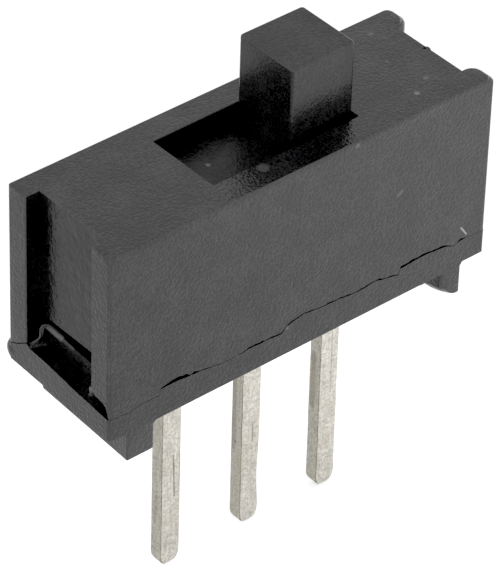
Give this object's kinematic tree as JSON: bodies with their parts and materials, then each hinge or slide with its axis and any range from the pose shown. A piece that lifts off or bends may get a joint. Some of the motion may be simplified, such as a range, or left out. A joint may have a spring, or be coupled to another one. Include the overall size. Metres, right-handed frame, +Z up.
{
  "type": "slide switch",
  "caption": "Small upright slide switch for a circuit board: a black moulded box with a square lever in a top slot and a row of flat pins below.",
  "frame": {"origin": "on the middle terminal, in the plane of the feet, which is the surface of the board", "axes": "+X along the slide towards the end where the lever stands, +Y across the switch, +Z up from the board along the lever"},
  "size_m": [0.0117, 0.0039, 0.014],
  "materials": {
    "housing": "satin",
    "base": "satin",
    "slider": "satin",
    "spring_bronze": "satin",
    "tinned_terminal": "satin"
  },
  "bodies": {
    "body": {"housing": "housing", "base": "base", "left_terminal": "tinned_terminal", "centre_terminal": "tinned_terminal", "right_terminal": "tinned_terminal"},
    "slide": {"slider": "slider", "contact_clip": "spring_bronze"}
  },
  "joints": [
    {"name": "lever_slide", "type": "slide", "parent": "body", "child": "slide", "axis": [1, 0, 0], "range_m": [-0.00235, 0]}
  ]
}
